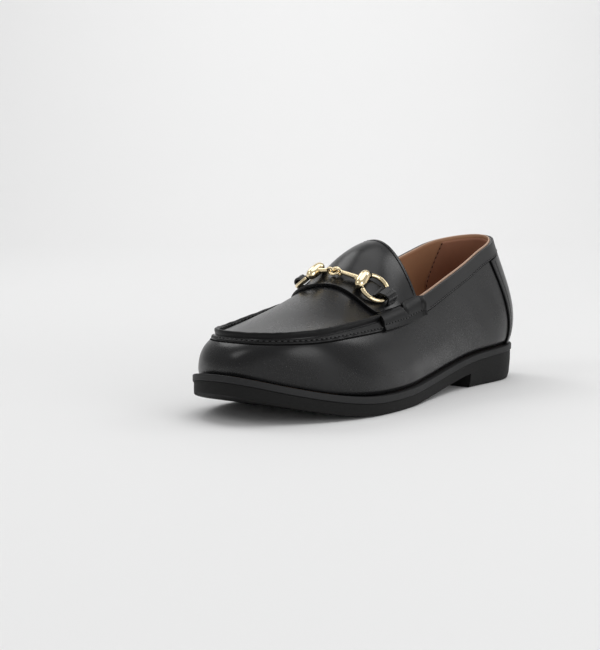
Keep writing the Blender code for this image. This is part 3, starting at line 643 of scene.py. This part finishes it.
# the bit: two rings through oval barrels, bars with eyes and a link
bit = dict(station=0.1765, sweep=0.0090, places={1: 0.48, -1: 0.41}, ring=0.0090, wire=0.0014, ringFace=0.75,
           barrelLength=0.0150, barrel=0.0036, fullness=2.6, barrelLift=0.0042, ringLift=0.0022,
           barThin=0.0012, barThick=0.0018, bell=0.55, bellWide=(0.42, 0.95), bellCurve=2.4,
           eye=0.0022, eyeWire=0.0008, link=0.0031, shelf=0.0023, slotTurn=0.80, slot=(0.0001, 0.00035))
keeper = dict(columns=48, rows=12, width=0.0085, thickness=0.0012, edge=0.0003, rise=0.0012,
              share={1: 1.0, -1: 0.70})   # smaller on the inner side
keeperRows = np.array([(-0.0068, 0.06), (-0.0052, 0.10), (-0.0042, 0.45), (-0.0034, 0.90), (-0.0012, 1.02),
                       (0.0009, 1.00), (0.0022, 0.88), (0.0030, 0.45), (0.0038, 0.10), (0.0050, 0.06)])


def frameAt(point, x, y, z):
    return Matrix.Translation(point) @ Matrix((x, y, z)).transposed().to_4x4()


def addTorus(shape, place, radius, thick, around, section):
    start = place @ Matrix.Translation((radius, 0, 0)) @ Matrix.Rotation(math.pi / 2, 4, "X")
    ring = bmesh.ops.create_circle(shape, segments=section, radius=thick, matrix=start)
    edges = list({e for v in ring["verts"] for e in v.link_edges})
    bmesh.ops.spin(shape, geom=ring["verts"] + edges, cent=place.translation, axis=place.to_3x3().col[2],
                   angle=2 * math.pi, steps=around, use_merge=True)


def addBarrel(shape, d, place):   # a sphere drawn out along y, fuller than an ellipse
    made = bmesh.ops.create_uvsphere(shape, u_segments=40, v_segments=28, radius=1,
                                     matrix=Matrix.Rotation(math.pi / 2, 4, "X"))
    for v in made["verts"]:
        round1 = math.hypot(v.co.x, v.co.z)
        full = max(1 - abs(v.co.y) ** d["fullness"], 0) ** (1 / d["fullness"])
        v.co.x, v.co.z = (k * full / max(round1, 1e-6) for k in (v.co.x, v.co.z))
    size = Matrix.Diagonal((d["barrel"], d["barrelLength"] / 2, d["barrel"], 1))
    bmesh.ops.transform(shape, matrix=place @ size, verts=made["verts"])


def addBell(shape, d, begin, reach, place):   # the bar widens into the barrel's oval
    made = bmesh.ops.create_uvsphere(shape, u_segments=36, v_segments=24, radius=1)
    long1, flat = place.to_3x3().col[1], place.to_3x3().col[2]
    ends = [k * size for k, size in zip(d["bellWide"], (d["barrelLength"], d["barrel"]))]
    for v in made["verts"]:
        round1 = math.hypot(v.co.x, v.co.y)
        t = (v.co.z + 1) / 2
        wide = [d["barThin"] + (size - d["barThin"]) * t ** d["bellCurve"] for size in ends]
        x, y = (k / max(round1, 1e-6) if round1 > 1e-4 else 0 for k in (v.co.x, v.co.y))
        v.co = begin + reach * (1 - d["bell"] * (1 - t)) + long1 * (x * wide[0]) + flat * (y * wide[1])


def bitFrame(d, across, lift):
    return instepFrame(d["station"] - d["sweep"] * max(across, 0.0) ** 2, across, lift)


def seatRing(d, side):   # raised until the wire clears the strap all round
    tops = np.array([instepFrame(s, side * a, d["shelf"])[0]
                     for s in np.linspace(strap["backEnd"], strap["front"], 32)
                     for a in np.linspace(0, strap["reach"], 32)])
    near = d["places"][side]
    for lift in np.arange(0, 0.006, 0.0001):
        barrel = bitFrame(d, side * near, d["shelf"] + lift + d["barrelLift"])[0]
        farPlace, far = near, barrel
        while (far - barrel).length < 2 * d["ring"]:
            farPlace += 0.002
            far = bitFrame(d, side * farPlace, d["shelf"] + lift + d["ringLift"])[0]
        down = (far - barrel).normalized()
        along = bitFrame(d, side * (near + d["ringFace"] * (farPlace - near)), 0.0)[2]
        face = along.cross(down).normalized() * side
        place = frameAt(barrel + down * d["ring"], down, face.cross(down), face)
        local = (tops - np.array(place.translation)) @ np.array(place.to_3x3())
        clear = np.hypot(np.hypot(local[:, 0], local[:, 1]) - d["ring"], local[:, 2])
        if clear.min() > d["wire"] + last["gap"]:
            break
    return lift, farPlace, place


def makeBit(d):
    eyeLift = d["shelf"] + 2 * last["gap"] + d["eye"] + d["eyeWire"]
    middle, over, ahead, out = instepFrame(d["station"], 0, eyeLift)
    shape = bmesh.new()
    addTorus(shape, frameAt(middle, over, -ahead, out), d["link"], d["eyeWire"], 48, 16)
    addPiece("link", shape, "gold", ["link"])
    for side, name in bothSides:
        lift, farPlace, place = seatRing(d, side)
        shape = bmesh.new()
        addTorus(shape, place, d["ring"], d["wire"], 96, 24)
        addPiece("ring" + name, shape, "gold", ["ring_" + name.lower()])
        barrel = place @ Vector((-d["ring"], 0, 0))
        eye = middle + over * side * d["link"]
        begin = eye + over * side * d["eye"]
        reach = barrel - begin
        shape = bmesh.new()
        addTorus(shape, frameAt(eye, over, out, ahead), d["eye"], d["eyeWire"], 40, 16)
        turn = reach.to_track_quat("Z", "Y").to_matrix().to_4x4()
        bmesh.ops.create_cone(shape, cap_ends=True, segments=28, radius1=d["barThin"], radius2=d["barThick"],
                              depth=reach.length, matrix=Matrix.Translation(begin + reach / 2) @ turn)
        addBell(shape, d, begin, reach, place)
        addBarrel(shape, d, Matrix.Translation(barrel - place.translation) @ place)
        addPiece("bar" + name, shape, "gold", ["bar_" + name.lower()])
        shape = bmesh.new()   # rings of painted shade where the wire goes into the barrel
        for turn in (-d["slotTurn"], d["slotTurn"]):
            radial = Vector((-math.cos(turn), math.sin(turn), 0))
            tangent = Vector((math.sin(turn), math.cos(turn), 0))
            spot = place @ frameAt(radial * d["ring"], radial, tangent.cross(radial), tangent)
            addTorus(shape, spot, d["wire"] + d["slot"][0], d["slot"][1], 28, 8)
        addPiece("slotShade" + name, shape, "paintedShade")
        makeKeeper(name, side, farPlace, d, lift + d["ringLift"] + d["wire"] + keeper["rise"])


def makeKeeper(name, side, place, d, top):
    near, far = (bitFrame(d, side * (place + k), d["shelf"])[0] for k in (-0.01, 0.01))
    perMetre = 0.02 / (far - near).length
    share = keeper["share"][side]
    shape, u, v = newGrid(keeper["columns"], keeper["rows"])
    run = keeperRows[0, 0] + (keeperRows[-1, 0] - keeperRows[0, 0]) * u
    points = []
    for r, w in zip(run, v):
        across = side * min(place + r * share * perMetre, strap["reach"])
        height = d["shelf"] + top * np.interp(r, keeperRows[:, 0], keeperRows[:, 1])
        station = d["station"] - d["sweep"] * max(across, 0.0) ** 2
        points.append(instepFrame(station + (w - 0.5) * keeper["width"] * share, across, height)[0])
    setPoints(shape, points)
    piece = addPiece("keeper" + name, shape, "leather", ["keeper_" + name.lower()],
                     lambda p: Vector((side * 0.6, 0, 1)))
    thicken(piece, keeper["thickness"], 1, keeper["edge"])


makeBit(bit)
print("strap and bit made")


# thread: each stitch a small drawn-out bead, with a dot of painted shade between stitches
stitch = dict(   # pitch, length and thickness of each kind
    seam=(0.0034, 0.0022, 0.00070), fine=(0.0026, 0.0017, 0.00055),
    inner=(0.0034, 0.0019, 0.00080), tab=(0.0033, 0.0020, 0.00085))


def beads(name, pointOf, ends, pitch, length, wide, high, finish, phase=0.5, lift=0.0):
    t = np.linspace(*ends, 1500)
    path = pointOf(t, 0.0)
    run = np.concatenate([[0], np.cumsum(np.linalg.norm(np.diff(path, axis=0), axis=1))])
    count = int(run[-1] / pitch)
    at = np.interp((np.arange(count) + phase) * run[-1] / count, run, t)
    step = (ends[1] - ends[0]) * 2e-4
    ways = pointOf(at + step, 0.0) - pointOf(at - step, 0.0)
    ups = pointOf(at, 1e-3) - pointOf(at, 0.0)
    size = Matrix.Diagonal((length / 2, wide / 2, high / 2, 1))
    shape = bmesh.new()
    for spot, way, up in zip(pointOf(at, lift), ways, ups):
        x = Vector(way).normalized()
        y = Vector(up).cross(x).normalized()
        place = frameAt(spot, x, y, x.cross(y)) @ size
        bmesh.ops.create_uvsphere(shape, u_segments=8, v_segments=5, radius=1, matrix=place)
    addPiece(name, shape, finish, sharp=85)


def stitchLine(name, pointOf, ends, kind, thread="thread", paintedShade="paintedShade", depth=0.5):
    pitch, length, thick = stitch[kind]
    beads(name + "Thread", pointOf, ends, pitch, length, thick, thick * 0.8, thread, 0.5, thick * 0.12)
    # dark beads of painted shade between the stitches
    space = pitch - length + thick * 0.6
    beads(name + "HoleShade", pointOf, ends, pitch, space, thick * 1.2, thick * depth, paintedShade, 0.0)


seamTop = float(rimTurn(upperWall["stitchEnd"]))
seamEnds = (-seamTop, seamTop)


def seamSpot(t, down, h):
    return wallPoint(t, down, ribHeight(t, down) + h)


def tabSpot(side, t, h):
    return wallPoint(tabLoop(side, t, tab["seam"]), tabDown(t, tab["seam"]), tabLift(t, tab["seam"]) + tab["thickness"] + h)


# painted shade: a dark strip along the foot of the seam's flange
paintedShadeStrip("seamShadeLine", 300, 1, lambda u, v: -seamTop + 2 * seamTop * u,
            lambda u, v, loop: seamReach(loop) + upperWall["shadeLine"][0] + upperWall["shadeLine"][1] * v)
stitchLine("seamFoot", lambda t, h: seamSpot(t, seamReach(t) - upperWall["stitchIn"], h), seamEnds, "seam")
stitchLine("seamInner", lambda t, h: seamSpot(t, upperWall["stitchOut"], h), seamEnds, "inner")
collarOut = binding["lift"] + binding["thickness"]
collarFrom = collarStart + binding["stitchStart"]
stitchLine("collar", lambda t, h: wallPoint(t, binding["width"] - binding["stitchIn"], collarOut + h),
           (collarFrom, 2 * math.pi - collarFrom), "fine")
backstayOut = backstay["lift"] + backstay["thickness"]
for side, name in bothSides:
    deep = float(wallDepth(np.array(math.pi - side * backstay["turn"])))
    stitchLine("backstay" + name, lambda t, h: wallPoint(
        math.pi - side * (backstayTurn(t / deep) - backstay["stitchIn"]), t, backstayOut + h),
        (backstay["stitchTop"], deep - backstay["stitchShort"]), "fine")
    stitchLine("tab" + name, lambda t, h: tabSpot(side, t, h), tab["stitches"], "tab", depth=1.0)
# painted shade: a dark line just inside the tongue's edge
shape, u, v = newGrid(140, 1)
along, across = apron["shadeLine"][0] + apron["shadeLine"][1] * v, np.sin((2 * u - 1) * apron["shadeLineReach"])
setPoints(shape, sheetPoint(along, across, shadeLine["lift"]))
addPiece("tongueShadeLine", shape, "paintedShade", outward=upAndAhead)
stitchLine("tongue", lambda t, h: sheetPoint(np.full_like(t, apron["stitchAlong"]), np.sin(t), h),
           (-apron["stitchReach"], apron["stitchReach"]), "fine")
deepIn = lining["inset"] + lining["thickness"] + heelLining["clear"] + heelLining["thickness"]
for side, name in bothSides:
    stitchLine("liningSeam" + name, lambda t, h: wallPoint(
        math.pi - side * (math.pi - heelEdge(t) - heelLining["stitchIn"]), t, -deepIn - h),
        heelLining["stitches"], "inner", "tanThread", "tanPaintedShade")
print("stitching made")


# sole: midsole band, outsole, heel and footbed, each lofted through rings
sole = dict(around=200, midsole=0.0040, step=0.0006, bevel=0.0008, middle=0.130, heelLength=0.080, heelTaper=0.0015,
            heelSeat=0.0001, heelLevels=(0.004, 0.0007, 0.0002), heelRound=0.0005, insole=0.0030, insoleInset=0.0056)


def soleTop(station):
    return column(soleRows, 3, station)


def soleTread(station):
    return np.maximum(soleTop(station) - last["soleEdge"], 0)


def soleRing(loop, inset, height):
    station = loopStation((last["length"] - inset, sole["middle"], inset), loop)
    return onLast(soleWidth(loop, station, inset), station, height(station))


def loft(name, ringOf, levels, finish, stands):   # levels: inset and height of each ring, top to bottom
    shape, u, v = newGrid(sole["around"], len(levels) - 1)
    row = np.rint(v * (len(levels) - 1)).astype(int)
    points = np.zeros((len(u), 3))
    for k, (inset, height) in enumerate(levels):
        points[row == k] = ringOf(u[row == k], inset, height)
    setPoints(shape, points)
    bmesh.ops.remove_doubles(shape, verts=shape.verts, dist=2e-6)
    for ring in boundaryRings(shape):
        capRing(shape, ring)
    addPiece(name, shape, finish, stands, sharp=30)


def boundaryRings(shape):
    left = {e for e in shape.edges if e.is_boundary}
    rings = []
    while left:
        ring, near = [], [left.pop()]
        while near:
            edge = near.pop()
            ring.append(edge)
            beside = {e for v in edge.verts for e in v.link_edges} & left
            left -= beside
            near += beside
        rings.append(ring)
    return rings


def capRing(shape, ring):   # bridged across from side to side, with the tips filled
    ends = {pick((v for e in ring for v in e.verts), key=lambda v: v.co.y) for pick in (min, max)}
    sides = [e for e in ring if not ends & set(e.verts) and abs(e.verts[0].co.y - e.verts[1].co.y) > 1e-7]
    made = bmesh.ops.bridge_loops(shape, edges=sides)
    open1 = [e for e in set(ring) | set(made["edges"]) if e.is_valid and e.is_boundary]
    bmesh.ops.holes_fill(shape, edges=open1, sides=4)


def above(height, rise):
    return lambda station: height(station) + rise


def fullRing(u, inset, height):
    return soleRing(u * 2 * math.pi, inset, height)


lower = above(soleTop, -sole["midsole"])
bevel = sole["bevel"]
loft("midsole", fullRing, [
    (bevel, soleTop), (0.4 * bevel, above(soleTop, -0.12 * bevel)), (0.1 * bevel, above(soleTop, -0.4 * bevel)),
    (0, above(soleTop, -bevel)), (0, above(lower, 0.4 * bevel)), (0.3 * bevel, lower)], "edge", ["midsole"])
stepIn = sole["step"]
loft("outsole", fullRing, [
    (stepIn, above(lower, -last["gap"])), (stepIn, above(soleTread, bevel)),
    (stepIn + 0.12 * bevel, above(soleTread, 0.4 * bevel)), (stepIn + 0.4 * bevel, above(soleTread, 0.12 * bevel)),
    (stepIn + bevel, soleTread)], "rubber", ["outsole"])


def heelRing(u, inset, height):   # round the back from the breast and to it again
    count = sole["around"]
    k = np.rint(u * count) % count
    share = k / (count - 1) * 2 - 1
    station = inset + (sole["heelLength"] - inset) * (1 - np.cos(share * math.pi / 2))
    loop = np.where(share < 0, 1.0, 4.0)
    return onLast(soleWidth(loop, station, inset), station, height(station))


def ground(station):
    return 0 * station


taper = sole["heelTaper"]
heelTop = above(soleTread, -sole["heelSeat"])
high, middle, low = (above(ground, k) for k in sole["heelLevels"])
loft("heel", heelRing, [
    (stepIn + bevel, heelTop), (stepIn, above(heelTop, bevel)), (stepIn + 0.4 * taper, high),
    (stepIn + 0.85 * taper, middle), (stepIn + taper, low), (stepIn + taper + sole["heelRound"], ground)],
    "rubber", ["heel"])
seat = above(soleTop, last["gap"])
seatTop = above(seat, sole["insole"])
inset = sole["insoleInset"]
loft("insole", fullRing, [
    (inset + bevel, seatTop), (inset + 0.3 * bevel, above(seatTop, -0.3 * bevel)), (inset, above(seatTop, -bevel)),
    (inset, seat)], "lining", ["insole"])
print("sole made")


# camera, floor and light
view = dict(azimuth=38.6, elevation=5.69, place=(0.49167, -0.68981, 0.12896), focal=1331, longSide=650)   # focal in px
paperRoll = dict(size=9.0, nearShare=0.35, straight=2.2, bend=1.5, climb=1.6, below=0.0002, shade=0.84)


def backFrom(azimuth, elevation):   # the way back to a camera or lamp from what it looks at
    a, e = math.radians(azimuth), math.radians(elevation)
    return Vector((math.sin(a) * math.cos(e), -math.cos(a) * math.cos(e), math.sin(e)))


def makeStage(d, roll):
    shape, u, v = newGrid(8, 60)
    run = (v - roll["nearShare"]) * roll["size"]
    past, bend = np.maximum(run - roll["straight"], 0), roll["bend"]
    curve = bend - np.sqrt(np.maximum(bend**2 - np.minimum(past, bend) ** 2, 0))
    rise = np.where(past < bend, curve, bend + (past - bend) * roll["climb"])
    a = math.radians(d["azimuth"])
    away, beside = np.array([-math.sin(a), math.cos(a)]), np.array([math.cos(a), math.sin(a)])
    spread = np.outer((u - 0.5) * roll["size"], beside)
    flat = np.outer(np.minimum(run, roll["straight"] + bend), away) + spread
    setPoints(shape, np.column_stack([flat, rise - roll["below"]]))
    bmesh.ops.recalc_face_normals(shape, faces=shape.faces)
    mesh = bpy.data.meshes.new("sweep")
    shape.to_mesh(mesh)
    shape.free()
    mesh.shade_smooth()
    sweep = bpy.data.objects.new("sweep", mesh)
    bpy.context.scene.collection.objects.link(sweep)
    paper = bpy.data.materials.new("paper")
    paper.use_nodes = True
    shade = (*[roll["shade"]] * 3, 1)
    plug(paper.node_tree.nodes["Principled BSDF"], Base_Color=shade, Roughness=0.9, Specular_IOR_Level=0.1)
    mesh.materials.append(paper)
    camera = bpy.data.objects.new("camera", bpy.data.cameras.new("camera"))
    bpy.context.scene.collection.objects.link(camera)
    camera.data.lens = d["focal"] / d["longSide"] * 36
    camera.data.sensor_width = 36
    camera.data.clip_start = 0.01
    back = backFrom(d["azimuth"], d["elevation"])
    camera.location = Vector(d["place"]) - Vector((last["centre"], 0, 0))
    camera.rotation_mode = "QUATERNION"
    camera.rotation_quaternion = (-back).to_track_quat("-Z", "Y")
    bpy.context.scene.camera = camera


lamps = dict(   # azimuth, elevation and distance round a point, size, power, and that point
    overhead=(125, 79, 1.6, 1.5, 8.3, (0, 0, 0)), left=(-98, 52, 1.7, 0.8, 4.1, (0, 0, 0)),
    frontLeft=(-20, 40, 1.5, 0.6, 2.2, (0, 0, 0)), frontRight=(80, 14, 1.5, 1.0, 6.0, (0, 0, 0)),
    right=(149, 41, 1.8, 0.6, 2.6, (0, 0, 0)), rightLow=(147, 9, 2.5, 1.1, 1.2, (0, 0, 0)),
    backdrop=(40, 35, 2.2, 2.6, 38, (-2.3, 2.9, 1.2)))


def makeLight():
    for name, (azimuth, elevation, distance, size, power, aim) in lamps.items():
        lamp = bpy.data.objects.new(name, bpy.data.lights.new(name, "AREA"))
        bpy.context.scene.collection.objects.link(lamp)
        back = backFrom(azimuth, elevation)
        lamp.location = Vector(aim) + back * distance
        lamp.visible_camera = False
        lamp.rotation_mode = "QUATERNION"
        lamp.rotation_quaternion = (-back).to_track_quat("-Z", "Y")
        lamp.data.shape, lamp.data.size, lamp.data.energy = "DISK", size, power
    world = bpy.data.worlds.new("studio")
    bpy.context.scene.world = world
    world.use_nodes = True
    world.node_tree.nodes["Background"].inputs["Color"].default_value = (1, 1, 1, 1)
    world.node_tree.nodes["Background"].inputs["Strength"].default_value = 0.44


makeStage(view, paperRoll)
makeLight()
bpy.context.scene.view_settings.view_transform = "Standard"
